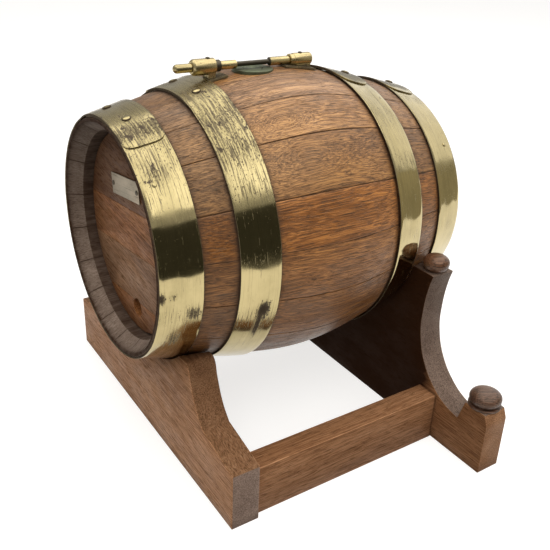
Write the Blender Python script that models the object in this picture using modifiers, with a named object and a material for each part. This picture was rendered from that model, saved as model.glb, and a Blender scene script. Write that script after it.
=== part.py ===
"""Oak wine barrel with brass hoops and a locking bar over its bung, lying in a cradle stand.

Metres, +Z up.  +X runs along the barrel, from the head with the tap hole to the other head.
The origin is on the floor below the middle of the barrel.  Parts of the barrel are placed in the
barrel's own frame, whose centre is on the barrel's axis.  Angles round the barrel are counted from
the top, and are positive towards +Y.
"""
import math

import bmesh
import bpy
from mathutils import Matrix, Vector

# Clearance between touching pieces
GAP = 0.0003

# Barrel
AXIS_Z = 0.231
HALF_LENGTH = 0.181
BULGE_R = 0.155
BULGE_DROP = 0.0163
BULGE_REACH = 0.060
STAVE_THICK = 0.015
STAVE_WIDTHS_DEG = (17.2, 17.4, 21.0, 15.5, 22.5, 20.0, 19.5, 18.5, 19.0, 19.0,
                    19.0, 19.0, 19.0, 20.0, 19.5, 18.7, 21.3, 17.0, 16.9)
STAVE_STEPS_ALONG = 12
STAVE_STEPS_ROUND = 3

# Ends of the staves
CHIME_FLAT_R = 0.1165
CHIME_BEVEL_DEPTH = 0.015
CHIME_BEVEL_R = 0.1065
CHIME_INNER_R = 0.1055
CROZE_X = (0.1457, 0.1523)
CROZE_R = 0.1083
HOWEL_X = 0.136
HOWEL_R = 0.1075

# Heads
HEAD_FACE_X = 0.1555
HEAD_THICK = 0.014
HEAD_R = 0.1049
HEAD_TONGUE_R = 0.1078
HEAD_FACE_R = 0.1030
HEAD_TILT = math.radians(6.3)
HEAD_JOINTS_Z = (0.027, -0.019, -0.073)
TAP_HOLE_R = 0.0095
TAP_HOLE_Y = -0.0085
TAP_HOLE_Z = -0.0794

# Hoops: edge towards the middle and edge towards the head, with the gap under each edge
HOOP_THICK = 0.0013
HEAD_HOOP_X = (0.142, 0.181)
HEAD_HOOP_LIFT = (0.0004, 0.0004)
QUARTER_HOOP_X = (0.0715, 0.1094)
QUARTER_HOOP_LIFT = (0.0013, 0.0004)
HOOP_SIDES = 48
RIVET_R = 0.0045
RIVET_RISE = 0.0017
TACK_R = 0.0022
TACK_RISE = 0.0009

# Name plate on the front head
PLATE_SIZE = (0.0012, 0.067, 0.022)
PLATE_Y = 0.006
PLATE_Z = 0.049
PLATE_TILT = math.radians(7.5)
PLATE_SCREW_REACH = 0.0296
PLATE_SCREW_R = 0.0026
PLATE_SCREW_RISE = 0.0010

# Locking bar and what it runs through
BAR_Z = 0.161
BAR_R = 0.0043
BAR_X = (-0.1050, 0.0500)
BAR_WAIST_X = (-0.0350, 0.0020)
BAR_WAIST_R = 0.0025
BAR_BORE_R = 0.0046
BAR_BORE_END_X = 0.0512
FRONT_BOSS_X = (-0.0860, -0.0610)
FRONT_BOSS_R = 0.0080
BACK_BOSS_X = (0.0278, 0.0545)
BACK_BOSS_R = 0.0065
FRONT_BOSS_TAPER = 0.0025
FRONT_BOSS_NOSE_R = 0.0062
BACK_RING_R = 0.0060
BACK_RING_LENGTH = 0.0047
FRONT_NECK_X = (-0.0700, -0.0620)
FRONT_NECK_HALF_WIDTH = 0.006
BACK_NECK_X = (0.0350, 0.0525)
BACK_NECK_HALF_WIDTH = 0.005
COLLAR_X = (-0.0607, -0.0547)
COLLAR_R = 0.0058
FOOT_PLATE_THICK = 0.0018
FOOT_PLATE_HALF_WIDTH = 0.009
FRONT_FOOT_X = (-0.0710, -0.0495)
BACK_FOOT_X = (0.019, 0.0575)
SET_SCREW_R = 0.0022
SET_SCREW_RISE = 0.0013
SET_SCREW_SINK = 0.0009
SET_SCREW_X = (-0.0677, 0.0417)

# Bung and its plate
BUNG_X = -0.016
BUNG_R = 0.0100
BUNG_PLATE_R = 0.0210
BUNG_PLATE_Z = (0.1518, 0.1563)
BUNG_SLEEVE_R = 0.0130
BUNG_SLEEVE_Z = 0.1425

# Stand
BOARD_THICK = 0.030
BOARD_SPACING = 0.2325
FRONT_BOARD_X = -0.118
FRONT_HALF_WIDTH = 0.195
BACK_HALF_WIDTH = 0.260
RAIL_THICK = 0.025
RAIL_HEIGHT = 0.056
RAIL_INSET = 0.0055
CRADLE_CLEARANCE = 0.0006
CRADLE_SLOPE = 0.165
HORN_Z = 0.1887
HORN_KNOB_Y = 0.148
FOOT_Z = 0.0715
FOOT_KNOB_Y = 0.2415

# Colour, roughness and metallic value of each kind of surface
OAK = ((0.27, 0.13, 0.06), 0.45, 0.0)
HEAD_OAK = ((0.17, 0.09, 0.05), 0.55, 0.0)
STAND_OAK = ((0.21, 0.12, 0.07), 0.5, 0.0)
KNOB_OAK = ((0.10, 0.05, 0.03), 0.4, 0.0)
BRASS = ((0.72, 0.60, 0.26), 0.28, 1.0)
OLD_BRASS = ((0.30, 0.31, 0.20), 0.5, 1.0)
DARK_METAL = ((0.09, 0.08, 0.07), 0.45, 1.0)

X_AXIS = Vector((1.0, 0.0, 0.0))
ALONG_X = Matrix.Rotation(math.radians(90), 4, "Y")
ALONG_MINUS_X = Matrix.Rotation(math.radians(-90), 4, "Y")


# ---------------------------------------------------------------- objects and materials

def clear_scene():
    for obj in list(bpy.data.objects):
        bpy.data.objects.remove(obj, do_unlink=True)


def new_collection(name):
    collection = bpy.data.collections.new(name)
    bpy.context.scene.collection.children.link(collection)
    return collection


def new_object(name, mesh, collection, parent=None, place=None):
    obj = bpy.data.objects.new(name, mesh)
    collection.objects.link(obj)
    obj.parent = parent
    if place is not None:
        obj.matrix_local = place
    return obj


def mesh_from(bm, name):
    mesh = bpy.data.meshes.new(name)
    bm.to_mesh(mesh)
    bm.free()
    return mesh


def new_frame(name, location, parent=None):
    frame = new_object(name, None, PARTS, parent)
    frame.location = location
    return frame


def paint(obj, look, tint=1.0):
    """Give the object a material of its own."""
    colour, roughness, metallic = look
    material = bpy.data.materials.new(obj.name)
    material.use_nodes = True
    shader = material.node_tree.nodes["Principled BSDF"]
    shader.inputs["Base Color"].default_value = [c * tint for c in colour] + [1.0]
    shader.inputs["Roughness"].default_value = roughness
    shader.inputs["Metallic"].default_value = metallic
    obj.data.materials.clear()
    obj.data.materials.append(material)
    return obj


def as_cutter(obj):
    obj.hide_render = True
    obj.display_type = "WIRE"
    return obj


def combine(obj, other, operation):
    modifier = obj.modifiers.new(other.name, "BOOLEAN")
    modifier.operation = operation
    modifier.object = other
    modifier.solver = "EXACT"
    return obj


def turned(name, profile, steps, collection, parent=None, place=None, closed=False):
    """A turned piece: the profile holds (radius, height) pairs down the outer side."""
    bm = bmesh.new()
    verts = [bm.verts.new((radius, 0.0, height)) for radius, height in profile]
    for start, end in zip(verts, verts[1:]):
        bm.edges.new((start, end))
    if closed:
        bm.edges.new((verts[-1], verts[0]))
    obj = new_object(name, mesh_from(bm, name), collection, parent, place)
    screw = obj.modifiers.new("Turn", "SCREW")
    screw.axis = "Z"
    screw.steps = steps
    screw.render_steps = steps
    screw.use_merge_vertices = True
    screw.merge_threshold = 0.00001
    screw.use_smooth_shade = True
    return obj


def block(name, low, high, collection, parent=None):
    """A box from its lowest corner to its highest corner."""
    low, high = Vector(low), Vector(high)
    bm = bmesh.new()
    bmesh.ops.create_cube(bm, size=1.0)
    bmesh.ops.scale(bm, vec=high - low, verts=bm.verts)
    bmesh.ops.translate(bm, vec=(low + high) / 2, verts=bm.verts)
    return new_object(name, mesh_from(bm, name), collection, parent)


def flat_board(name, outline, x_low, x_high):
    """A board cut from an outline of (y, z, kind) points, kind being corner or smooth."""
    curve = bpy.data.curves.new(name, "CURVE")
    curve.dimensions = "2D"
    curve.fill_mode = "BOTH"
    curve.extrude = (x_high - x_low) / 2
    curve.resolution_u = 5
    spline = curve.splines.new("BEZIER")
    spline.bezier_points.add(len(outline) - 1)
    for point, (y, z, kind) in zip(spline.bezier_points, outline):
        handle = "VECTOR" if kind == "corner" else "AUTO"
        point.co = (y, z, 0.0)
        point.handle_left_type = handle
        point.handle_right_type = handle
    spline.use_cyclic_u = True
    flat = bpy.data.objects.new(name + "_outline", curve)
    GUIDES.objects.link(flat)
    flat.location.x = (x_low + x_high) / 2
    flat.rotation_euler = (math.radians(90), 0.0, math.radians(90))
    bpy.context.view_layer.update()
    solid = bpy.data.meshes.new_from_object(flat.evaluated_get(bpy.context.evaluated_depsgraph_get()))
    bm = bmesh.new()
    bm.from_mesh(solid)
    bmesh.ops.remove_doubles(bm, verts=bm.verts, dist=0.000001)
    bmesh.ops.recalc_face_normals(bm, faces=bm.faces)
    bm.to_mesh(solid)
    bm.free()
    board = new_object(name, solid, PARTS)
    board.matrix_world = flat.matrix_world
    bpy.data.objects.remove(flat, do_unlink=True)
    return board


# ---------------------------------------------------------------- the barrel's surface

def stave_radius(x):
    return BULGE_R - BULGE_DROP * (math.sqrt(1 + (x / BULGE_REACH) ** 2) - 1)


def round_barrel(x, angle_deg, radius):
    angle = math.radians(angle_deg)
    return Vector((x, radius * math.sin(angle), radius * math.cos(angle)))


def barrel_normal(angle_deg, slope):
    """Outward direction on a surface whose radius changes by slope along the barrel."""
    normal = round_barrel(0.0, angle_deg, 1.0) - slope * X_AXIS
    return normal.normalized()


def along(start, end, share):
    return start + (end - start) * share


# ---------------------------------------------------------------- staves

def stave_section():
    """Closed outline of a stave in its middle plane, as (x, radius) pairs."""
    count = STAVE_STEPS_ALONG
    outer = [along(-HALF_LENGTH, HALF_LENGTH, i / count) for i in range(count + 1)]
    hollow = [along(0.125, 0.0, i / 3) for i in range(4)]
    half_inside = [
        (HALF_LENGTH, CHIME_FLAT_R),
        (HALF_LENGTH - CHIME_BEVEL_DEPTH, CHIME_BEVEL_R),
        (CROZE_X[1], CHIME_INNER_R),
        (CROZE_X[1], CROZE_R),
        (CROZE_X[0], CROZE_R),
        (CROZE_X[0], CHIME_INNER_R),
        (HOWEL_X, HOWEL_R),
    ] + [(x, stave_radius(x) - STAVE_THICK) for x in hollow]
    other_half = [(-x, radius) for x, radius in reversed(half_inside[:-1])]
    return [(x, stave_radius(x)) for x in outer] + half_inside + other_half


def stave(name, start_deg, end_deg, barrel):
    side_gap = math.degrees(GAP / 2 / HEAD_R)
    bm = bmesh.new()
    first = start_deg + side_gap
    corners = [bm.verts.new(round_barrel(x, first, radius)) for x, radius in stave_section()]
    bm.faces.new(corners)
    bmesh.ops.spin(bm, geom=bm.verts[:] + bm.edges[:] + bm.faces[:], cent=(0, 0, 0), axis=(-1, 0, 0),
                   angle=math.radians(end_deg - start_deg - 2 * side_gap), steps=STAVE_STEPS_ROUND)
    bmesh.ops.recalc_face_normals(bm, faces=bm.faces)
    return new_object(name, mesh_from(bm, name), PARTS, barrel)


def make_staves(barrel):
    staves = []
    start = -STAVE_WIDTHS_DEG[0] / 2
    for number, width in enumerate(STAVE_WIDTHS_DEG, 1):
        obj = stave(f"stave_{number:02d}", start, start + width, barrel)
        staves.append(paint(obj, OAK, 0.85 + 0.3 * (number * 7 % 5) / 4))
        start += width
    return staves


# ---------------------------------------------------------------- heads

def head_board(name, low_z, high_z, side, barrel):
    """One board of a head: the turned head, kept between two tilted joints."""
    inner_x = HEAD_FACE_X - HEAD_THICK
    profile = [
        (0.0, HEAD_FACE_X),
        (HEAD_FACE_R, HEAD_FACE_X),
        (HEAD_R, HEAD_FACE_X - 0.0025),
        (HEAD_R, CROZE_X[1] - GAP),
        (HEAD_TONGUE_R, CROZE_X[1] - GAP),
        (HEAD_TONGUE_R, CROZE_X[0] + GAP),
        (HEAD_R, CROZE_X[0] + GAP),
        (HEAD_R, inner_x + 0.001),
        (HEAD_FACE_R, inner_x),
        (0.0, inner_x),
    ]
    turn = ALONG_X if side > 0 else ALONG_MINUS_X
    board = turned(name, profile, 40, PARTS, barrel, turn)
    reach = 2 * HEAD_TONGUE_R
    band = block(name + "_band", (-reach, -reach, low_z + GAP / 2), (reach, reach, high_z - GAP / 2),
                 GUIDES, barrel)
    band.rotation_euler.x = -HEAD_TILT
    combine(board, as_cutter(band), "INTERSECT")
    return board


def make_heads(barrel):
    edges = (1.2 * HEAD_TONGUE_R,) + HEAD_JOINTS_Z + (-1.2 * HEAD_TONGUE_R,)
    tap_place = Matrix.Translation((0.0, TAP_HOLE_Y, TAP_HOLE_Z)) @ ALONG_MINUS_X
    tap = turned("tap_hole", [(0.0, 0.2), (TAP_HOLE_R, 0.2), (TAP_HOLE_R, 0.1), (0.0, 0.1)], 24,
                 GUIDES, barrel, tap_place)
    as_cutter(tap)
    for side, title in ((-1, "front"), (1, "back")):
        for number in range(4):
            name = f"{title}_head_board_{number + 1}"
            board = head_board(name, edges[number + 1], edges[number], side, barrel)
            if title == "front" and number >= 2:
                combine(board, tap, "DIFFERENCE")
            paint(board, HEAD_OAK, 0.8 + 0.2 * number)


# ---------------------------------------------------------------- hoops, rivets and tacks

def hoop_radius(band, x):
    """Outer radius of a hoop at x.  A band is (edge positions, lifts, side)."""
    (near, far), (near_lift, far_lift), _side = band
    facet = math.cos(math.pi / HOOP_SIDES)
    near_r = (stave_radius(near) + near_lift) / facet + HOOP_THICK
    far_r = (stave_radius(far) + far_lift) / facet + HOOP_THICK
    return along(near_r, far_r, (abs(x) - near) / (far - near))


def hoop_slope(band):
    (near, far), _lifts, side = band
    return side * (hoop_radius(band, far) - hoop_radius(band, near)) / (far - near)


def lap(name, band, start_deg, end_deg, tip_from_deg, tip_x, barrel):
    """The lapped end of a hoop: a strip over the hoop that narrows to its tip."""
    (near, far), _lifts, side = band
    inset = 0.0006
    full = sorted((side * (near + inset), side * (far - inset)))
    stations = [(start_deg, full, 0.0001)]
    steps = 6
    for i in range(1, steps + 1):
        stations.append((along(start_deg, tip_from_deg, i / steps), full, HOOP_THICK))
    for share in (0.55, 0.85, 1.0):
        narrowing = 1 - math.sqrt(1 - share ** 2) if share < 1 else 1.0
        width = [along(full[k], tip_x[k], narrowing) for k in (0, 1)]
        stations.append((along(tip_from_deg, end_deg, share), width, HOOP_THICK))
    bm = bmesh.new()
    rows = []
    for angle, (low, high), rise in stations:
        corners = [(low, rise), (high, rise), (high, -HOOP_THICK / 2), (low, -HOOP_THICK / 2)]
        places = [round_barrel(x, angle, hoop_radius(band, x) + lift) for x, lift in corners]
        rows.append([bm.verts.new(place) for place in places])
    for row, following in zip(rows, rows[1:]):
        for k in range(4):
            bm.faces.new((row[k], row[k - 1], following[k - 1], following[k]))
    bm.faces.new(rows[0])
    bm.faces.new(rows[-1])
    bmesh.ops.recalc_face_normals(bm, faces=bm.faces)
    return as_cutter(new_object(name, mesh_from(bm, name), GUIDES, barrel))


def hoop(name, band, lap_strip, barrel):
    (near, far), _lifts, side = band
    low, high = sorted((side * near, side * far))
    profile = [
        (hoop_radius(band, high), high),
        (hoop_radius(band, low), low),
        (hoop_radius(band, low) - HOOP_THICK, low),
        (hoop_radius(band, high) - HOOP_THICK, high),
    ]
    obj = turned(name, profile, HOOP_SIDES, PARTS, barrel, ALONG_X, closed=True)
    combine(obj, lap_strip, "UNION")
    return paint(obj, BRASS)


def dome(name, radius, rise, place, parent, look):
    """A low rounded head, flat underneath."""
    profile = [
        (0.0, rise),
        (0.55 * radius, 0.85 * rise),
        (0.9 * radius, 0.4 * rise),
        (radius, 0.0),
        (0.0, 0.0),
    ]
    return paint(turned(name, profile, 12, PARTS, parent, place), look)


def on_hoop(band, x, angle_deg, layers):
    """Place of a rivet or tack that sits on so many layers of hoop."""
    normal = barrel_normal(angle_deg, hoop_slope(band))
    seat = round_barrel(x, angle_deg, hoop_radius(band, x) + (layers - 1) * HOOP_THICK)
    turn = normal.to_track_quat("Z", "Y").to_matrix().to_4x4()
    return Matrix.Translation(seat + GAP * normal) @ turn


def make_hoops(barrel):
    front_head = (HEAD_HOOP_X, HEAD_HOOP_LIFT, -1)
    front_quarter = (QUARTER_HOOP_X, QUARTER_HOOP_LIFT, -1)
    back_quarter = (QUARTER_HOOP_X, QUARTER_HOOP_LIFT, 1)
    back_head = (HEAD_HOOP_X, HEAD_HOOP_LIFT, 1)

    strip = lap("front_head_lap", front_head, 17.0, -29.0, -20.0, (-0.170, -0.154), barrel)
    hoop("head_hoop_front", front_head, strip, barrel)
    strip = lap("front_quarter_lap", front_quarter, -15.0, 27.0, 18.0, (-0.100, -0.082), barrel)
    hoop("quarter_hoop_front", front_quarter, strip, barrel)
    strip = lap("back_quarter_lap", back_quarter, 22.0, -16.5, -8.0, (0.090, 0.100), barrel)
    hoop("quarter_hoop_back", back_quarter, strip, barrel)
    strip = lap("back_head_lap", back_head, 24.0, -17.0, -8.0, (0.164, 0.174), barrel)
    hoop("head_hoop_back", back_head, strip, barrel)

    rivets = {
        "front_head": (front_head, (-0.1635, -10.5), (-0.1640, 10.5)),
        "front_quarter": (front_quarter, (-0.0920, -9.0), (-0.0900, 12.5)),
        "back_quarter": (back_quarter, (0.0990, -2.5), (0.0880, 13.0)),
        "back_head": (back_head, (0.1720, 1.0), (0.1640, 17.0)),
    }
    for title, (band, *seats) in rivets.items():
        for number, (x, angle) in enumerate(seats, 1):
            dome(f"{title}_rivet_{number}", RIVET_R, RIVET_RISE, on_hoop(band, x, angle, 2), barrel, BRASS)
    dome("front_hoop_tack", TACK_R, TACK_RISE, on_hoop(front_head, -0.1690, -47.5, 1), barrel, BRASS)
    dome("back_hoop_tack", TACK_R, TACK_RISE, on_hoop(back_head, 0.1700, -52.0, 1), barrel, BRASS)


# ---------------------------------------------------------------- name plate

def make_name_plate(barrel):
    face_x = -HEAD_FACE_X - GAP
    thick, width, height = PLATE_SIZE
    tilt = Matrix.Rotation(-PLATE_TILT, 4, "X")
    seat = Matrix.Translation((face_x, PLATE_Y, PLATE_Z)) @ tilt
    low = (-thick, -width / 2, -height / 2)
    high = (0.0, width / 2, height / 2)
    plate = block("name_plate", low, high, PARTS, barrel)
    plate.matrix_local = seat
    paint(plate, OLD_BRASS)
    for number, side in enumerate((-1, 1), 1):
        place = seat @ Matrix.Translation((-thick - GAP, side * PLATE_SCREW_REACH, 0.0)) @ ALONG_MINUS_X
        dome(f"name_plate_screw_{number}", PLATE_SCREW_R, PLATE_SCREW_RISE, place, barrel, DARK_METAL)


# ---------------------------------------------------------------- bar, bosses and bung

def crest_block(name, x_span, half_width, lift, top, barrel):
    """A block whose underside follows the top of the barrel at a lift, up to top(x)."""
    steps = 5
    places = [along(*x_span, i / steps) for i in range(steps + 1)]
    outline = [(x, stave_radius(x) + lift) for x in places]
    outline += [(x, top(x)) for x in reversed(places)]
    bm = bmesh.new()
    face = bm.faces.new([bm.verts.new((x, -half_width, z)) for x, z in outline])
    grown = bmesh.ops.extrude_face_region(bm, geom=[face])
    moved = [item for item in grown["geom"] if isinstance(item, bmesh.types.BMVert)]
    bmesh.ops.translate(bm, vec=(0.0, 2 * half_width, 0.0), verts=moved)
    bmesh.ops.recalc_face_normals(bm, faces=bm.faces)
    return as_cutter(new_object(name, mesh_from(bm, name), GUIDES, barrel))


def foot_plate(name, x_span, barrel):
    """A strip bent along the top of the barrel, under a boss."""
    return crest_block(name, x_span, FOOT_PLATE_HALF_WIDTH, GAP,
                       lambda x: stave_radius(x) + GAP + FOOT_PLATE_THICK, barrel)


def neck_block(name, x_span, half_width, barrel):
    """What joins a boss to its foot plate."""
    return crest_block(name, x_span, half_width, GAP + FOOT_PLATE_THICK / 2,
                       lambda x: BAR_Z - BAR_R / 3, barrel)


def boss(name, profile, foot, neck, screw_x, top_r, bore, barrel):
    """A bar boss, cast in one with its neck and foot plate."""
    at_bar = Matrix.Translation((0.0, 0.0, BAR_Z))
    body = turned(name, profile, 24, PARTS, barrel, at_bar @ ALONG_X)
    seat = Matrix.Translation((screw_x, 0.0, BAR_Z + top_r))
    hole_r = SET_SCREW_R + GAP
    hole_low = -SET_SCREW_SINK - GAP
    hole_high = 0.010
    outline = [(0.0, hole_high), (hole_r, hole_high), (hole_r, hole_low), (0.0, hole_low)]
    hole = turned(name + "_screw_hole", outline, 16, GUIDES, barrel, seat)
    combine(body, as_cutter(hole), "DIFFERENCE")
    combine(body, neck, "UNION")
    combine(body, foot, "UNION")
    combine(body, bore, "DIFFERENCE")
    outline = [
        (0.0, SET_SCREW_RISE),
        (0.7 * SET_SCREW_R, SET_SCREW_RISE - 0.0001),
        (SET_SCREW_R, SET_SCREW_RISE - 0.0007),
        (SET_SCREW_R, -SET_SCREW_SINK),
        (0.0, -SET_SCREW_SINK),
    ]
    paint(turned(name + "_set_screw", outline, 16, PARTS, barrel, seat), DARK_METAL)
    return paint(body, BRASS)


def make_bosses(barrel):
    at_bar = Matrix.Translation((0.0, 0.0, BAR_Z))
    bore_start_x = -0.12
    outline = [
        (0.0, BAR_BORE_END_X),
        (BAR_BORE_R, BAR_BORE_END_X),
        (BAR_BORE_R, bore_start_x),
        (0.0, bore_start_x),
    ]
    bore = as_cutter(turned("bar_bore", outline, 24, GUIDES, barrel, at_bar @ ALONG_X))

    low, high = FRONT_BOSS_X
    profile = [
        (0.0, high),
        (FRONT_BOSS_R, high),
        (FRONT_BOSS_R, low + FRONT_BOSS_TAPER),
        (FRONT_BOSS_NOSE_R, low),
        (0.0, low),
    ]
    foot = foot_plate("front_foot", FRONT_FOOT_X, barrel)
    neck = neck_block("front_neck", FRONT_NECK_X, FRONT_NECK_HALF_WIDTH, barrel)
    boss("front_boss", profile, foot, neck, SET_SCREW_X[0], FRONT_BOSS_R, bore, barrel)

    low, high = BACK_BOSS_X
    profile = [
        (0.0, high),
        (BACK_BOSS_R - 0.0010, high),
        (BACK_BOSS_R, high - 0.0015),
        (BACK_BOSS_R, low + BACK_RING_LENGTH + 0.0002),
        (BACK_RING_R, low + BACK_RING_LENGTH),
        (BACK_RING_R, low),
        (0.0, low),
    ]
    foot = foot_plate("back_foot", BACK_FOOT_X, barrel)
    neck = neck_block("back_neck", BACK_NECK_X, BACK_NECK_HALF_WIDTH, barrel)
    boss("back_boss", profile, foot, neck, SET_SCREW_X[1], BACK_BOSS_R, bore, barrel)

    low, high = COLLAR_X
    ring = [(COLLAR_R, high), (COLLAR_R, low), (BAR_BORE_R, low), (BAR_BORE_R, high)]
    paint(turned("bar_collar", ring, 24, PARTS, barrel, at_bar @ ALONG_X, closed=True), DARK_METAL)


def make_bar(frame):
    low, high = BAR_X
    waist_low, waist_high = BAR_WAIST_X
    profile = [
        (0.0, high),
        (BAR_R - 0.001, high),
        (BAR_R, high - 0.0015),
        (BAR_R, waist_high + 0.0015),
        (BAR_WAIST_R, waist_high),
        (BAR_WAIST_R, waist_low),
        (BAR_R, waist_low - 0.0015),
    ]
    for angle in (0, 30, 60, 90):
        turn = math.radians(angle)
        profile.append((BAR_R * math.cos(turn), low + BAR_R * (1 - math.sin(turn))))
    paint(turned("locking_bar", profile, 20, PARTS, frame, ALONG_X), BRASS)


def make_bung_plate(barrel, bung_stave):
    at_bung = Matrix.Translation((BUNG_X, 0.0, 0.0))
    low, high = BUNG_PLATE_Z
    bore_r = BUNG_R + GAP
    edge = 0.0008
    bore_taper = 0.0011
    ring = [
        (BUNG_PLATE_R - edge, high),
        (BUNG_PLATE_R, high - edge),
        (BUNG_PLATE_R, low),
        (BUNG_SLEEVE_R, low),
        (BUNG_SLEEVE_R, BUNG_SLEEVE_Z),
        (bore_r - bore_taper, BUNG_SLEEVE_Z),
        (bore_r, high),
    ]
    paint(turned("bung_plate", ring, 32, PARTS, barrel, at_bung, closed=True), OLD_BRASS)
    seat_r = BUNG_PLATE_R + GAP
    hole_r = BUNG_SLEEVE_R + GAP
    above_stave = 0.175
    below_stave = 0.130
    recess = [
        (0.0, above_stave),
        (seat_r, above_stave),
        (seat_r, low - GAP),
        (hole_r, low - GAP),
        (hole_r, below_stave),
        (0.0, below_stave),
    ]
    cutter = turned("bung_hole", recess, 32, GUIDES, barrel, at_bung)
    combine(bung_stave, as_cutter(cutter), "DIFFERENCE")


def make_bung(frame):
    top = BUNG_PLATE_Z[1] - 0.0001
    profile = [(0.0, top), (BUNG_R, top), (BUNG_R - 0.0012, 0.1440), (0.0, 0.1440)]
    paint(turned("bung", profile, 24, PARTS, frame), OLD_BRASS, 0.8)


# ---------------------------------------------------------------- stand

def mirrored(half):
    """A whole outline from its +Y half, which runs from the floor up to the middle."""
    return half + [(-y, z, kind) for y, z, kind in reversed(half)]


def cradle_cutter(side):
    """The tapered hollow that the barrel lies in."""
    near, far = 0.108, 0.152
    seat = 0.1135
    seat_r = stave_radius(seat) + CRADLE_CLEARANCE
    near_r = seat_r + (seat - near) * CRADLE_SLOPE
    far_r = seat_r - (far - seat) * CRADLE_SLOPE
    place = Matrix.Translation((0.0, 0.0, AXIS_Z)) @ (ALONG_X if side > 0 else ALONG_MINUS_X)
    profile = [(0.0, far), (far_r, far), (near_r, near), (0.0, near)]
    title = "back" if side > 0 else "front"
    return as_cutter(turned(f"{title}_cradle", profile, 64, GUIDES, None, place))


def make_boards():
    half = [
        (FRONT_HALF_WIDTH, 0.000, "corner"),
        (FRONT_HALF_WIDTH, 0.064, "corner"),
        (0.1370, 0.077, "corner"),
        (0.1248, 0.091, "smooth"),
        (0.1130, 0.116, "smooth"),
        (0.1075, 0.132, "smooth"),
        (0.1030, 0.135, "corner"),
    ]
    front = flat_board("front_board", mirrored(half), FRONT_BOARD_X - BOARD_THICK, FRONT_BOARD_X)
    paint(combine(front, cradle_cutter(-1), "DIFFERENCE"), STAND_OAK)

    half = [
        (BACK_HALF_WIDTH, 0.000, "corner"),
        (BACK_HALF_WIDTH, FOOT_Z - 0.0105, "corner"),
        (BACK_HALF_WIDTH - 0.0045, FOOT_Z, "corner"),
        (0.2285, FOOT_Z, "corner"),
        (0.2215, 0.0468, "corner"),
        (0.2030, 0.0512, "smooth"),
        (0.1870, 0.0600, "smooth"),
        (0.1655, 0.0830, "smooth"),
        (0.1535, 0.1150, "smooth"),
        (0.1523, 0.1450, "smooth"),
        (0.1562, 0.1750, "smooth"),
        (0.1600, HORN_Z, "corner"),
    ]
    back_x = FRONT_BOARD_X + BOARD_SPACING
    back = flat_board("back_board", mirrored(half), back_x, back_x + BOARD_THICK)
    paint(combine(back, cradle_cutter(1), "DIFFERENCE"), STAND_OAK)


def make_rails():
    outer = FRONT_HALF_WIDTH - RAIL_INSET
    low_x = FRONT_BOARD_X + GAP
    high_x = FRONT_BOARD_X + BOARD_SPACING - GAP
    for title, side in (("near", -1), ("far", 1)):
        low_y, high_y = sorted((side * (outer - RAIL_THICK), side * outer))
        rail = block(f"{title}_rail", (low_x, low_y, 0.0), (high_x, high_y, RAIL_HEIGHT), PARTS)
        paint(rail, STAND_OAK, 1.1)


def make_knobs():
    horn = [(0.0, 0.0172), (0.0065, 0.0165), (0.0118, 0.0138), (0.0144, 0.0095), (0.0134, 0.0040),
            (0.0105, 0.0), (0.0, 0.0)]
    foot = [(0.0, 0.0175), (0.0085, 0.0168), (0.0145, 0.0142), (0.0170, 0.0095), (0.0155, 0.0045),
            (0.0140, 0.0025), (0.0172, 0.0020), (0.0172, 0.0), (0.0, 0.0)]
    mid_x = FRONT_BOARD_X + BOARD_SPACING + BOARD_THICK / 2
    for title, side in (("near", -1), ("far", 1)):
        place = Matrix.Translation((mid_x, side * HORN_KNOB_Y, HORN_Z + GAP))
        paint(turned(f"{title}_horn_knob", horn, 20, PARTS, None, place), KNOB_OAK)
        place = Matrix.Translation((mid_x, side * FOOT_KNOB_Y, FOOT_Z + GAP))
        paint(turned(f"{title}_foot_knob", foot, 20, PARTS, None, place), KNOB_OAK)


# ---------------------------------------------------------------- the whole object

clear_scene()
PARTS = new_collection("oak_wine_barrel")
GUIDES = new_collection("cutters")

barrel_frame = new_frame("barrel_frame", (0.0, 0.0, AXIS_Z))
bar_frame = new_frame("bar_frame", (0.0, 0.0, BAR_Z), barrel_frame)
bung_frame = new_frame("bung_frame", (BUNG_X, 0.0, 0.0), barrel_frame)

all_staves = make_staves(barrel_frame)
make_heads(barrel_frame)
make_hoops(barrel_frame)
make_name_plate(barrel_frame)
make_bosses(barrel_frame)
make_bung_plate(barrel_frame, all_staves[0])
make_bar(bar_frame)
make_bung(bung_frame)
make_boards()
make_rails()
make_knobs()
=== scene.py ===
"""Looks of an oak wine barrel in its cradle stand.

Places and sizes come from the boxes of the model's nodes.  Angles round the barrel are counted from
the top, and are positive towards +Y.
"""

import math
import random

import bmesh
import bpy
import numpy as np
from mathutils import Matrix, Vector, noise


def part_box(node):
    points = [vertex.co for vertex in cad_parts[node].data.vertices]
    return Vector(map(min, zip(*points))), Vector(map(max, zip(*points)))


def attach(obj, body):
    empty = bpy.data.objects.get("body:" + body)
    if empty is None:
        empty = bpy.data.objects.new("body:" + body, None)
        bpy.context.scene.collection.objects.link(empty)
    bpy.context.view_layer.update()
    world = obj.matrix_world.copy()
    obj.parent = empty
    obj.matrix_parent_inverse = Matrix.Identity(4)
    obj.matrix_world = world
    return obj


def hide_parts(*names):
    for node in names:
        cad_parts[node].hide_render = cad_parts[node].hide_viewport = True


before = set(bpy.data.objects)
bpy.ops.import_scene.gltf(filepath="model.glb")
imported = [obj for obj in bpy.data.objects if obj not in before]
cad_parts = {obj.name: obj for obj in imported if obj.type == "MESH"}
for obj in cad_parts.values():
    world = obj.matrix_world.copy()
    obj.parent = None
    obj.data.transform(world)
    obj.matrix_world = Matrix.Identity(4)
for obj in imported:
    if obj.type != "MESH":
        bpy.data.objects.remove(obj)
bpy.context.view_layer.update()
random.seed(11)


def middle(node):
    low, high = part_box(node)
    return (low + high) / 2


# ---- driving sizes

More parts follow.
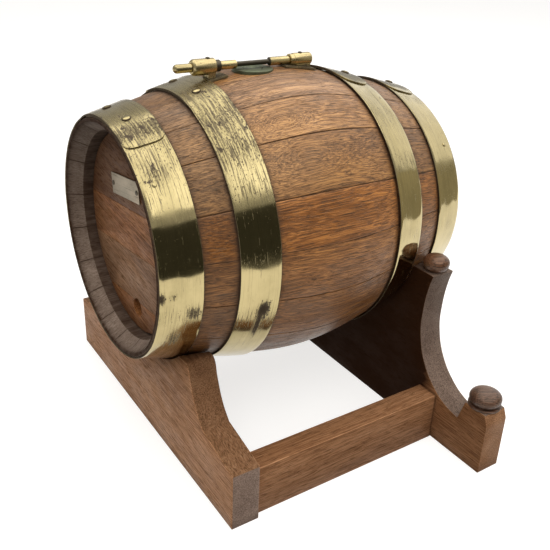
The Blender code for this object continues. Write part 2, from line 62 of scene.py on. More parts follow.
AXIS_Z = middle("head_hoop_back").z
HALF_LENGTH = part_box("stave_05")[1].x
BULGE_R = 0.155
BULGE_DROP = 0.0163
BULGE_REACH = 0.060
STAVE_THICK = 0.015
STAVE_WIDTHS_DEG = (17.2, 17.4, 21.0, 15.5, 22.5, 20.0, 19.5, 18.5, 19.0, 19.0,
                    19.0, 19.0, 19.0, 20.0, 19.5, 18.7, 21.3, 17.0, 16.9)
STAVE_GAP = 0.0003
JOINT_LINE = 0.0009
BARE_DEPTH = 0.0016
BARE_TONE_DEPTH = 0.0012
CHIME_FLAT_R = 0.1165
CHIME_BEVEL_X = HALF_LENGTH - 0.015
CHIME_BEVEL_R = 0.1065
CHIME_INNER_R = 0.1055
CROZE_X = (0.1457, 0.1523)
CROZE_R = 0.1083
HOWEL = (0.136, 0.1075)
# How far in from a stave's joint, and how deep, its rounded edge runs
JOINT_ROUND = ((0.0, 0.00080), (0.00012, 0.00034), (0.00034, 0.00012), (0.00075, 0.0))

HEAD_FACE_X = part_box("back_head_board_2")[1].x
HEAD_THICK = 0.014
HEAD_R = 0.1049
HEAD_TONGUE_R = 0.1078
HEAD_FACE_R = 0.1030
HEAD_TILT = math.radians(6.3)
HEAD_JOINTS_Z = (0.027, -0.019, -0.073)
TAP_HOLE = (0.0095, -0.0085, -0.0794)

HOOP_THICK = 0.0013
HOOP_GAP = 0.0003
HEAD_HOOP = ((0.142, 0.181), (0.0004, 0.0004))
QUARTER_HOOP = ((0.0715, 0.1094), (0.0013, 0.0004))
HOOP_EDGES = HEAD_HOOP[0] + QUARTER_HOOP[0]

BAR_Z = middle("locking_bar").z - AXIS_Z
BAR_R = 0.0043
BAR_WAIST_X = (-0.0350, 0.0020)
BAR_WAIST_R = 0.0025
BAR_BORE_R = 0.0046
BAR_BORE_END_X = 0.0512
FOOT_PLATE_THICK = 0.0018
FOOT_PLATE_HALF_WIDTH = 0.009

BOARD_EASE = 0.0008
BOARD_TONES = (1.84, 1.30)
RAIL_EASE = 0.0009
RAIL_ON_FACE = 0.0004

X_AXIS = Vector((1.0, 0.0, 0.0))
BARREL = Matrix.Translation((0.0, 0.0, AXIS_Z))
ALONG_X = Matrix.Rotation(math.radians(90), 4, "Y")
ALONG_MINUS_X = Matrix.Rotation(math.radians(-90), 4, "Y")
BAR_AXIS = Matrix.Translation((0.0, 0.0, AXIS_Z + BAR_Z)) @ ALONG_X
GRAIN_ALONG_Y = Matrix(((0, 1, 0, 0), (0, 0, 1, 0), (1, 0, 0, 0), (0, 0, 0, 1)))

# Brightness and warmth of the staves that show most, by number; the pale grey of staves 18 and 19 is
# partly their own colour and partly a painted sheen
STAVE_TONES = {1: (1.05, 0.05), 19: (1.22, -0.22), 18: (1.24, -0.08), 17: (1.06, 0.10), 16: (1.24, 0.72),
               15: (1.20, 0.52), 14: (1.10, 0.50), 13: (0.86, 0.60), 12: (0.84, 0.60)}
# Swirls in the grain: stave, place along and across it, reach, depth
KNOTS = (
    (18, -0.036, -0.004, 0.009, 0.020),
    (17, -0.030, 0.004, 0.016, 0.016),
    (3, 0.030, 0.005, 0.013, 0.024),
)
# Brightness and warmth of the boards of a head, from the top down
HEAD_TONES = ((0.56, 0.70), (1.25, 0.62), (0.97, 0.0), (0.86, 0.80))
# Stains on the front hoops, by the hoop's inner edge: angle and reach in degrees, place and reach
# across the hoop, depth
STAINS = {
    HEAD_HOOP[0][0]: (
        (-95.0, 2.6, 0.96, 0.08, 2.8),
        (-94.5, 1.6, 0.70, 0.05, 2.2),
        (-103.0, 4.0, 0.22, 0.16, 1.1),
        (-119.0, 6.0, 0.55, 0.18, 1.1),
        (-43.0, 5.0, 0.60, 0.25, 0.5),
    ),
    QUARTER_HOOP[0][0]: (
        (-104.0, 3.0, 0.36, 0.13, 2.5),
        (-113.0, 7.0, 0.42, 0.07, 1.9),
        (-34.0, 12.0, 0.50, 0.60, 0.25),
    ),
}


# ---- node materials

def add(tree, kind, inputs=None, **settings):
    """Add a shader node; its inputs are given as values or as sockets to link."""
    node = tree.nodes.new("ShaderNode" + kind)
    for key, value in settings.items():
        setattr(node, key, value)
    for key, value in (inputs or {}).items():
        if isinstance(value, bpy.types.NodeSocket):
            tree.links.new(value, node.inputs[key])
        else:
            node.inputs[key].default_value = value
    return node


def rgb(colour):
    return (*colour, 1.0)


def noise_at(tree, vector, factors, detail=3.0, roughness=0.5, offset=(0.0, 0.0, 0.0)):
    """Noise over the vector times the factors, plus the offset."""
    place = add(tree, "VectorMath", {0: vector, 1: factors, 2: offset}, operation="MULTIPLY_ADD")
    look = {"Vector": place.outputs[0], "Scale": 1.0, "Detail": detail, "Roughness": roughness}
    return add(tree, "TexNoise", look).outputs[0]


def calc(tree, operation, first, second=0.0, clamp=False):
    return add(tree, "Math", {0: first, 1: second}, operation=operation, use_clamp=clamp).outputs[0]


def plus(tree, first, second, clamp=False):
    return calc(tree, "ADD", first, second, clamp)


def times(tree, first, second, clamp=False):
    return calc(tree, "MULTIPLY", first, second, clamp)


def span(tree, value, low, high, out_low=0.0, out_high=1.0):
    """Map low to high onto out_low to out_high, smoothly and clamped."""
    node = add(tree, "MapRange", {0: value, 1: low, 2: high, 3: out_low, 4: out_high},
               interpolation_type="SMOOTHSTEP")
    return node.outputs[0]


def blend_colour(tree, factor, first, second, mode="MIX"):
    node = add(tree, "Mix", {0: factor, 6: first, 7: second}, data_type="RGBA", blend_type=mode)
    return node.outputs[2]


def ramp(tree, factor, stops):
    node = add(tree, "ValToRGB", {0: factor})
    elements = node.color_ramp.elements
    for index, (position, colour) in enumerate(stops):
        element = elements[index] if index < 2 else elements.new(position)
        element.position = position
        element.color = rgb(colour)
    return node.outputs[0]


def new_material(name):
    material = bpy.data.materials.new(name)
    material.use_nodes = True
    tree = material.node_tree
    return material, tree, tree.nodes["Principled BSDF"]


def finish_shader(tree, shader, colour, roughness, height, bump_mm, metallic=None):
    """Link the varying sockets of the shader, with bump from a height in 0 to 1."""
    tree.links.new(colour, shader.inputs["Base Color"])
    tree.links.new(roughness, shader.inputs["Roughness"])
    if metallic is not None:
        tree.links.new(metallic, shader.inputs["Metallic"])
    bump = add(tree, "Bump", {"Height": height, "Strength": 1.0, "Distance": bump_mm / 1000})
    tree.links.new(bump.outputs[0], shader.inputs["Normal"])


def piece_attributes(tree):
    """The grain vector, then the tone's brightness, warmth (negative where grey) and darkening, which is
    dirt and wear in places and painted shade in others.
    """
    grain = add(tree, "Attribute", attribute_name="grain").outputs["Vector"]
    tone = add(tree, "Attribute", attribute_name="tone").outputs["Vector"]
    return grain, *add(tree, "SeparateXYZ", {0: tone}).outputs


def oak(name, dark, mid, light, pore=0.5, gloss=0.42, coat=0.0, shine=0.4):
    """Oak: streaks, fibres and open pores along the grain attribute's first axis."""
    material, tree, shader = new_material(name)
    grain, brightness, warmth, dirt_and_shade = piece_attributes(tree)

    sway = noise_at(tree, grain, (9.0, 26.0, 26.0))
    sway = times(tree, calc(tree, "SUBTRACT", sway, 0.5), 0.010)
    bend = add(tree, "CombineXYZ", {1: sway, 2: sway}).outputs[0]
    bent = add(tree, "VectorMath", {0: grain, 1: bend}, operation="ADD").outputs[0]

    streaks = noise_at(tree, bent, (15.0, 900.0, 900.0), 6.0, 0.68)
    fibres = noise_at(tree, bent, (55.0, 1700.0, 1700.0), 3.0, 0.6)
    broad = noise_at(tree, bent, (4.0, 55.0, 55.0), offset=(3.1, 0.7, 1.9))
    cloud = noise_at(tree, grain, (20.0, 48.0, 48.0), 5.0, 0.6, (0.4, 6.7, 2.9))
    figure = plus(tree, times(tree, streaks, 0.56), times(tree, broad, 0.19))
    figure = plus(tree, figure, times(tree, cloud, 0.06))
    figure = plus(tree, figure, times(tree, fibres, 0.19))
    colour = ramp(tree, figure, [(0.42, dark), (0.59, light), (0.50, mid)])

    dashes = noise_at(tree, bent, (85.0, 1250.0, 1250.0), 2.0, 0.5, (1.0, 5.0, 2.0))
    crowd = span(tree, streaks, 0.42, 0.58, 0.07, 0.0)
    pores = span(tree, calc(tree, "SUBTRACT", dashes, crowd), 0.42, 0.33)
    colour = blend_colour(tree, times(tree, pores, pore), colour, rgb([c * 0.25 for c in dark]))

    colour = blend_colour(tree, warmth, colour, rgb((1.0, 0.72, 0.42)), "MULTIPLY")
    faded = span(tree, warmth, -1.0, 0.0, 0.35, 1.0)
    shaded = {"Color": colour, "Value": brightness, "Saturation": faded}
    colour = add(tree, "HueSaturation", shaded).outputs[0]
    # Darken towards a dark brown by the tone's third channel: dirt along joints, darkening beside the
    # hoops, and painted shade in the recess by the heads, at the heads' rims and on the stand where the
    # barrel shades it
    mottle = noise_at(tree, grain, (60.0, 160.0, 160.0), 4.0)
    soil_and_shade = times(tree, dirt_and_shade, span(tree, mottle, 0.25, 0.7, 0.70, 1.0), clamp=True)
    colour = blend_colour(tree, soil_and_shade, colour, rgb((0.024, 0.008, 0.0025)))

    roughness = span(tree, cloud, 0.35, 0.65, gloss + 0.10, gloss - 0.06)
    roughness = plus(tree, roughness, times(tree, pores, 0.25))
    roughness = plus(tree, roughness, times(tree, soil_and_shade, 0.30), clamp=True)
    height = plus(tree, times(tree, streaks, 0.55), times(tree, fibres, 0.30))
    height = calc(tree, "SUBTRACT", height, times(tree, pores, 0.7))
    finish_shader(tree, shader, colour, roughness, height, bump_mm=0.15)
    shader.inputs["Specular IOR Level"].default_value = shine
    shader.inputs["Specular Tint"].default_value = (1.0, 0.80, 0.58, 1.0)
    shader.inputs["Coat Weight"].default_value = coat
    shader.inputs["Coat Roughness"].default_value = 0.30
    return material


def brass(name, base, tarnish, gloss, pits=1.0):
    """Brass with tarnish, brush lines along the grain attribute's first axis, and dark pits."""
    material, tree, shader = new_material(name)
    grain, _brightness, _warmth, wear_and_shade = piece_attributes(tree)

    cloud = noise_at(tree, grain, (22.0, 34.0, 34.0), 6.0, 0.62)
    lines = noise_at(tree, grain, (12.0, 900.0, 900.0), 4.0, 0.6)
    streaks = noise_at(tree, grain, (36.0, 620.0, 620.0), 5.0, 0.70)
    patches = noise_at(tree, grain, (70.0, 130.0, 130.0), 6.0, 0.7, (4.0, 1.0, 7.0))
    specks = noise_at(tree, grain, (420.0, 780.0, 780.0), 3.0, 0.6)

    # The wear channel is tarnish and wear, and along the hoops' edges painted shade as well
    dull = plus(tree, span(tree, cloud, 0.36, 0.68, 0.0, 0.55), times(tree, wear_and_shade, 0.45), clamp=True)
    colour = blend_colour(tree, dull, rgb(base), rgb(tarnish))
    brushed = times(tree, span(tree, lines, 0.52, 0.68), plus(tree, times(tree, wear_and_shade, 0.7), 0.15))
    colour = blend_colour(tree, brushed, colour, rgb([c * 0.22 for c in tarnish]))

    reach = times(tree, wear_and_shade, 0.16)
    stain = span(tree, plus(tree, streaks, reach), 0.62, 0.72)
    patch = span(tree, plus(tree, patches, times(tree, wear_and_shade, 0.12)), 0.685, 0.73)
    pit = span(tree, plus(tree, specks, reach), 0.70, 0.76)
    dirt_and_shade = calc(tree, "MAXIMUM", times(tree, stain, 0.75), calc(tree, "MAXIMUM", pit, patch))
    dirt_and_shade = times(tree, dirt_and_shade, pits, clamp=True)
    colour = blend_colour(tree, dirt_and_shade, colour, rgb((0.070, 0.048, 0.026)))

    roughness = plus(tree, span(tree, cloud, 0.3, 0.7, gloss, gloss + 0.08), times(tree, dirt_and_shade, 0.4))
    roughness = plus(tree, roughness, times(tree, wear_and_shade, 0.20))
    relief = plus(tree, times(tree, dirt_and_shade, 0.7), times(tree, brushed, 0.25))
    height = calc(tree, "SUBTRACT", times(tree, cloud, 0.30), relief)
    metallic = span(tree, dirt_and_shade, 0.0, 1.0, 1.0, 0.35)
    finish_shader(tree, shader, colour, roughness, height, bump_mm=0.07, metallic=metallic)
    return material


STAVE_OAK = oak("stave_oak", (0.062, 0.025, 0.008), (0.190, 0.082, 0.025), (0.430, 0.215, 0.070),
                gloss=0.38, shine=0.85)
HEAD_OAK = oak("head_oak", (0.130, 0.055, 0.024), (0.265, 0.130, 0.060), (0.390, 0.215, 0.112),
               gloss=0.50, shine=0.25)
CHIME_OAK = oak("inner_oak", (0.150, 0.108, 0.083), (0.215, 0.160, 0.126), (0.300, 0.235, 0.190),
                pore=0.3, gloss=0.6, shine=0.3)
STAND_OAK = oak("stand_oak", (0.152, 0.071, 0.033), (0.250, 0.128, 0.064), (0.345, 0.192, 0.106),
                pore=0.45, gloss=0.46, shine=0.10)
KNOB_OAK = oak("knob_oak", (0.028, 0.012, 0.007), (0.080, 0.038, 0.023), (0.185, 0.102, 0.068),
               gloss=0.34, coat=0.3)
HOOP_BRASS = brass("hoop_brass", (0.51, 0.420, 0.215), (0.34, 0.28, 0.135), gloss=0.035)
BAR_BRASS = brass("bar_brass", (0.60, 0.485, 0.245), (0.25, 0.21, 0.11), gloss=0.17, pits=0.9)
OLD_BRASS = brass("old_brass", (0.35, 0.29, 0.21), (0.21, 0.19, 0.14), gloss=0.38, pits=0.8)
BUNG_BRASS = brass("bung_brass", (0.15, 0.165, 0.10), (0.09, 0.105, 0.06), gloss=0.36, pits=0.9)
DARK_BRASS = brass("dark_brass", (0.10, 0.085, 0.06), (0.05, 0.045, 0.035), gloss=0.36, pits=0.6)


# ---- mesh building

def smooth_piece(obj, sharp_deg=38):
    obj.data.shade_smooth()
    obj.data.set_sharp_from_angle(angle=math.radians(sharp_deg))
    return obj


def link_piece(name, data):
    obj = bpy.data.objects.new(name, data)
    bpy.context.scene.collection.objects.link(obj)
    return obj


def mesh_from(name, bm):
    mesh = bpy.data.meshes.new(name)
    bm.to_mesh(mesh)
    bm.free()
    return mesh


def piece_from(name, bm):
    bmesh.ops.recalc_face_normals(bm, faces=bm.faces)
    return smooth_piece(link_piece(name, mesh_from(name, bm)))


def lofted(name, rings):
    """A closed solid through rings of points, capped at its first and last ring."""
    rings = np.asarray(rings, float)
    count, size = rings.shape[:2]
    index = np.arange(count * size).reshape(count, size).tolist()
    faces = []
    for here, there in zip(index, index[1:]):
        for k in range(size):
            step = (k + 1) % size
            faces.append((here[k], here[step], there[step], there[k]))
    faces += [index[0][::-1], index[-1]]
    mesh = bpy.data.meshes.new(name)
    mesh.from_pydata(rings.reshape(-1, 3).tolist(), [], faces)
    bm = bmesh.new()
    bm.from_mesh(mesh)
    bpy.data.meshes.remove(mesh)
    return piece_from(name, bm)


def lathe_mesh(profile, steps):
    """A bmesh of a turned solid about Z, from (radius, height) pairs."""
    bm = bmesh.new()
    verts = [bm.verts.new((radius, 0.0, height)) for radius, height in profile]
    edges = [bm.edges.new(pair) for pair in zip(verts, verts[1:])]
    bmesh.ops.spin(bm, geom=verts + edges, cent=(0, 0, 0), axis=(0, 0, 1), angle=2 * math.pi,
                   steps=steps, use_merge=True)
    bmesh.ops.remove_doubles(bm, verts=bm.verts, dist=0.0000005)
    return bm


def lathe(name, profile, place, steps=64):
    obj = piece_from(name, lathe_mesh(profile, steps))
    obj.data.transform(place)
    return obj


def bisect(bm, point, normal, dist, **settings):
    geom = bm.verts[:] + bm.edges[:] + bm.faces[:]
    return bmesh.ops.bisect_plane(bm, geom=geom, dist=dist, plane_co=point, plane_no=normal, **settings)


def rounded(profile, radius, steps=3):
    """Round the inner corners of an open profile of (radius, height) pairs."""
    points = [Vector(p) for p in profile]
    result = [points[0]]
    for before, corner, after in zip(points, points[1:], points[2:]):
        cut = min(radius, (before - corner).length * 0.45, (after - corner).length * 0.45)
        start = corner + (before - corner).normalized() * cut
        end = corner + (after - corner).normalized() * cut
        for i in range(steps + 1):
            t = i / steps
            result.append(start.lerp(corner, t).lerp(corner.lerp(end, t), t))
    result.append(points[-1])
    return [tuple(p) for p in result]


def evaluated_mesh(obj):
    bpy.context.view_layer.update()
    return bpy.data.meshes.new_from_object(obj.evaluated_get(bpy.context.evaluated_depsgraph_get()))


def apply_modifiers(obj):
    solid = evaluated_mesh(obj)
    obj.modifiers.clear()
    obj.data = solid


def combine(obj, others, operation):
    for other in others:
        modifier = obj.modifiers.new("Combine", "BOOLEAN")
        modifier.operation = operation
        modifier.object = other
        modifier.solver = "EXACT"
        apply_modifiers(obj)
        bpy.data.objects.remove(other, do_unlink=True)


def bevel_edges(obj, width, segments=2):
    modifier = obj.modifiers.new("Round", "BEVEL")
    modifier.width = width
    modifier.segments = segments
    modifier.limit_method = "ANGLE"
    modifier.angle_limit = math.radians(30)
    modifier.use_clamp_overlap = False
    apply_modifiers(obj)
    smooth_piece(obj)


def set_vectors(obj, name, values):
    attribute = obj.data.attributes.new(name, "FLOAT_VECTOR", "POINT")
    attribute.data.foreach_set("vector", np.asarray(values, np.float32).ravel())


def points_of(obj):
    return np.array([v.co for v in obj.data.vertices], float).reshape(-1, 3)


def dress(obj, body, nodes, material, grain=Matrix(), tone=(1.0, 0.0, 0.0)):
    """Finish a piece: its grain, tone, material, body and the nodes it stands for.

    The grain is a matrix that turns the piece's points, or one vector per point.  The tone is one
    vector, or one per point.
    """
    points = points_of(obj)
    if isinstance(grain, Matrix):
        turn = np.array(grain)
        grain = points @ turn[:3, :3].T + turn[:3, 3]
    set_vectors(obj, "grain", grain)
    set_vectors(obj, "tone", np.broadcast_to(tone, points.shape))
    obj.data.materials.clear()
    obj.data.materials.append(material)
    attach(obj, body)
    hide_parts(*nodes)


# ---- the barrel's surface

def stave_radius(x):
    return BULGE_R - BULGE_DROP * (math.sqrt(1 + (x / BULGE_REACH) ** 2) - 1)


def round_barrel(x, angle_deg, radius):
    angle = math.radians(angle_deg)
    return Vector((x, radius * math.sin(angle), AXIS_Z + radius * math.cos(angle)))


def hoop_radius(band, x):
    """Outer radius of a hoop at distance x from the barrel's middle."""
    (near, far), (near_lift, far_lift) = band
    share = (abs(x) - near) / (far - near)
    near_r = stave_radius(near) + near_lift + HOOP_GAP + HOOP_THICK
    far_r = stave_radius(far) + far_lift + HOOP_GAP + HOOP_THICK
    return near_r + (far_r - near_r) * share


def hoop_slope(band):
    (near, far), _lifts = band
    return (hoop_radius(band, far) - hoop_radius(band, near)) / (far - near)


# ---- staves

def inner_stations():
    """(x, inner radius) from the middle of a stave to its end."""
    hollow = [(x, stave_radius(x) - STAVE_THICK) for x in np.linspace(0.0, 0.125, 8)]
    return hollow + [
        HOWEL, (CROZE_X[0], CHIME_INNER_R), (CROZE_X[0] + 0.00001, CROZE_R),
        (CROZE_X[1], CROZE_R), (CROZE_X[1] + 0.00001, CHIME_INNER_R),
        (CHIME_BEVEL_X - 0.0012, CHIME_INNER_R + 0.0003), (CHIME_BEVEL_X, CHIME_BEVEL_R),
        (CHIME_BEVEL_X + 0.0012, CHIME_BEVEL_R + 0.0010),
        (HALF_LENGTH - 0.0010, CHIME_FLAT_R - 0.0008), (HALF_LENGTH, CHIME_FLAT_R),
    ]


def stave_stations():
    """Every x where a stave gets a cross-section, with its inner radius."""
    xs, radii = zip(*inner_stations())
    spots = [*np.linspace(0.0, HALF_LENGTH - 0.0016, 40), *xs]
    steps = [way * step for way in (-1, 1) for step in (0.0004, 0.0015, 0.003, 0.006)]
    for edge in HOOP_EDGES:
        spots += [edge + step for step in steps if edge + step < HALF_LENGTH - 0.001]
    spots = sorted(set(round(float(x), 6) for x in spots))
    spots = [(x, float(np.interp(x, xs, radii))) for x in spots]
    return [(-x, r) for x, r in reversed(spots[1:])] + spots


def turn_from(mid_deg, y, z):
    """The angle from a stave's middle to a point, in degrees."""
    return (math.degrees(math.atan2(y, z - AXIS_Z)) - mid_deg + 180) % 360 - 180


def soil_near_joints(x, y, z, mid_deg, width_deg):
    """Dark lines along the joints between staves, strongest on their bare ends."""
    turn = turn_from(mid_deg, y, z)
    radius = math.hypot(y, z - AXIS_Z)
    away = math.radians(width_deg / 2 - abs(turn)) * radius
    inside = radius < stave_radius(x) - BARE_DEPTH
    uneven = 0.70 + 0.55 * noise.noise(Vector((x * 24, mid_deg, 0.5)))
    return (0.95 if inside else uneven) * math.exp(-(away / (JOINT_LINE if inside else 0.0006)) ** 2)


def painted_recess_shade(x, y, z):
    """Painted shade: the wall between a head and the bevelled stave ends is painted black, as it lies in
    shadow.
    """
    on_wall = math.hypot(y, z - AXIS_Z) < CHIME_BEVEL_R - 0.0002
    return 0.85 if on_wall and CROZE_X[1] - 0.001 < abs(x) < CHIME_BEVEL_X else 0.0


def dark_near_hoops(x):
    """How dark the wood is beside a hoop's edge, from 0 to 1."""
    away = min(abs(abs(x) - edge) for edge in HOOP_EDGES)
    return 0.90 * math.exp(-(away / 0.0026) ** 1.3) + 0.26 * math.exp(-away / 0.009)


def stave_piece(number, start_deg, end_deg):
    mid_deg = (start_deg + end_deg) / 2
    half_angle = math.radians(end_deg - start_deg) / 2
    lift = random.uniform(-0.00016, 0.00016)
    end_shift = [random.uniform(-0.0004, 0.0002) for _ in range(2)]
    phase = random.uniform(0.0, 40.0)
    rings = []
    for x, inner in stave_stations():
        outer = stave_radius(x) + lift
        outer -= 0.0006 if abs(x) > HALF_LENGTH - 0.0003 else 0.0
        shift = end_shift[x > 0] * max(0.0, (abs(x) - 0.15) / 0.031)
        half_out = half_angle - STAVE_GAP / 2 / outer
        half_in = half_angle - STAVE_GAP / 2 / inner
        left = [(-half_out + along / outer, outer - sunk) for along, sunk in JOINT_ROUND]
        line_out = half_out - 0.0022 / outer
        flat = [(t, outer) for t in np.linspace(-line_out, line_out, 9)]
        right = [(-a, r) for a, r in reversed(left)]
        line_in = half_in - JOINT_LINE / inner
        under = [half_in, *np.linspace(line_in, -line_in, 5), -half_in]
        ring = []
        for turn, radius in left + flat + right + [(t, inner) for t in under]:
            spot = Vector((x * 9 + phase, turn * outer * 26, radius * 9))
            if radius > outer - 0.002:
                radius += 0.00016 * noise.noise(spot) + 0.00006 * noise.noise(spot * 3.1)
            ring.append(round_barrel(x + math.copysign(shift, x), mid_deg + math.degrees(turn), radius))
        rings.append(ring)
    return lofted(f"stave_{number:02d}_oak", rings)


def stave_grain(obj, number, mid_deg):
    """Grain that runs along the stave, with a knot's swirl where a stave has one."""
    grain = []
    for x, y, z in points_of(obj):
        radius = math.hypot(y, z - AXIS_Z)
        across = math.radians(turn_from(mid_deg, y, z)) * stave_radius(x)
        depth = 0.45 * (radius - 0.11)
        for knot_number, knot_x, knot_across, reach, swell in KNOTS:
            if knot_number == number:
                far = ((x - knot_x) / (2.6 * reach)) ** 2 + ((across - knot_across) / reach) ** 2
                depth += swell * math.exp(-far)
        grain.append((x + 3.7 * number, across + number * 0.37, depth + 0.9 * number))
    return grain


def bung_cutter():
    """The stepped seat that the bung's plate sits in."""
    low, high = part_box("bung_plate")
    seat = (high.x - low.x) / 2 + HOOP_GAP
    neck_r = 0.0130 + HOOP_GAP
    flange_z = high.z - 0.0045 - HOOP_GAP
    profile = [(0.0, high.z + 0.02), (seat, high.z + 0.02), (seat, flange_z), (neck_r, flange_z),
               (neck_r, high.z - 0.03), (0.0, high.z - 0.03)]
    return lathe("bung_cutter", profile, Matrix.Translation((middle("bung_plate").x, 0.0, 0.0)), 96)


def stave_tone(x, y, z, value, warmth):
    """Darker between the hoops at each end; the bare inner side is painted paler towards the bottom,
    painted light where it is lit.
    """
    if math.hypot(y, z - AXIS_Z) < stave_radius(x) - BARE_TONE_DEPTH:
        return 0.86 + 0.30 * max(0.0, (AXIS_Z - z) / 0.13), 0.05
    if abs(x) > QUARTER_HOOP[0][1] - 0.002:
        value *= 0.68 if x < 0 else 0.80
    return value, warmth


def make_staves():
    start = -STAVE_WIDTHS_DEG[0] / 2
    for number, width in enumerate(STAVE_WIDTHS_DEG, 1):
        obj = stave_piece(number, start, start + width)
        if number == 1:
            combine(obj, [bung_cutter()], "DIFFERENCE")
            smooth_piece(obj)
        spare = (random.uniform(0.88, 1.08), random.uniform(0.0, 0.4))
        value, warmth = STAVE_TONES.get(number, spare)
        mid_deg = start + width / 2
        tone = []
        for x, y, z in points_of(obj):
            joint = soil_near_joints(x, y, z, mid_deg, width)
            # Dark joints, darkening beside the hoops, and painted shade on the recess wall by the head
            soil_and_shade = max(dark_near_hoops(x), joint, painted_recess_shade(x, y, z))
            tone.append((*stave_tone(x, y, z, value, warmth), soil_and_shade))
        grain = stave_grain(obj, number, mid_deg)
        dress(obj, "barrel", [f"stave_{number:02d}"], STAVE_OAK, grain, tone)
        paint_chime(obj)
        start += width


def paint_chime(obj):
    """The cut ends and the hollow side of a stave are bare, dark wood."""
    obj.data.materials.append(CHIME_OAK)
    for face in obj.data.polygons:
        centre = face.center
        radius = math.hypot(centre.y, centre.z - AXIS_Z)
        if radius < stave_radius(centre.x) - BARE_DEPTH:
            face.material_index = 1


# ---- heads

def head_board(title, number, low_z, high_z, side):
    inner_x = HEAD_FACE_X - HEAD_THICK
    tongue_low, tongue_high = CROZE_X[0] + 0.0003, CROZE_X[1] - 0.0003
    profile = [(0.0, HEAD_FACE_X), (HEAD_FACE_R, HEAD_FACE_X), (HEAD_R, HEAD_FACE_X - 0.0025),
               (HEAD_R, tongue_high), (HEAD_TONGUE_R, tongue_high), (HEAD_TONGUE_R, tongue_low),
               (HEAD_R, tongue_low), (HEAD_R, inner_x + 0.001), (HEAD_FACE_R, inner_x), (0.0, inner_x)]
    bm = lathe_mesh(profile, 160)
    bmesh.ops.transform(bm, matrix=ALONG_X if side > 0 else ALONG_MINUS_X, verts=bm.verts)
    normal = Vector((0.0, math.sin(HEAD_TILT), math.cos(HEAD_TILT)))
    for height, outward in ((low_z + 0.00012, -1), (high_z - 0.00012, 1)):
        if abs(height) > HEAD_TONGUE_R:
            continue
        cut = bisect(bm, normal * height, normal * outward, 0.0000001, clear_outer=True)
        rim = [item for item in cut["geom_cut"] if isinstance(item, bmesh.types.BMEdge)]
        bmesh.ops.holes_fill(bm, edges=rim, sides=0)
    bmesh.ops.recalc_face_normals(bm, faces=bm.faces)
    sharp = [edge for edge in bm.edges if len(edge.link_faces) == 2 and edge.calc_face_angle(0.0) > 1.2
             and all(abs(vert.co.x) > HEAD_FACE_X - 0.0001 for vert in edge.verts)]
    bmesh.ops.bevel(bm, geom=sharp, offset=0.0005, segments=2, affect="EDGES", profile=0.5)
    obj = piece_from(f"{title}_head_board_{number}_oak", bm)
    obj.data.transform(BARREL)
    return obj


def make_heads():
    edges = (1.0,) + HEAD_JOINTS_Z + (-1.0,)
    for side, title in ((-1, "front"), (1, "back")):
        for number in range(1, 5):
            obj = head_board(title, number, edges[number], edges[number - 1], side)
            if title == "front" and number >= 3:
                radius, y, z = TAP_HOLE
                place = Matrix.Translation((-HEAD_FACE_X, y, AXIS_Z + z)) @ ALONG_X
                profile = [(0.0, 0.03), (radius, 0.03), (radius, 0.0008), (radius + 0.0012, -0.0004),
                           (radius + 0.0012, -0.02), (0.0, -0.02)]
                combine(obj, [lathe("tap_cutter", profile, place, 64)], "DIFFERENCE")
                smooth_piece(obj)
            value, warmth = HEAD_TONES[number - 1]
            turn = Matrix.Translation((2.0 * number, 0.3 * number * side, 0.0))
            turn = turn @ GRAIN_ALONG_Y @ Matrix.Rotation(-HEAD_TILT, 4, "X") @ BARREL.inverted()
            # Painted shade: each board darkens towards the head's rim, where the stave ends shade it
            tone = []
            for _x, y, z in points_of(obj):
                rim = math.hypot(y, z - AXIS_Z)
                tone.append((value, warmth, 0.75 * max(0.0, min(1.0, (rim - 0.090) / 0.014))))
            dress(obj, "barrel", [f"{title}_head_board_{number}"], HEAD_OAK, turn, tone)


# ---- hoops

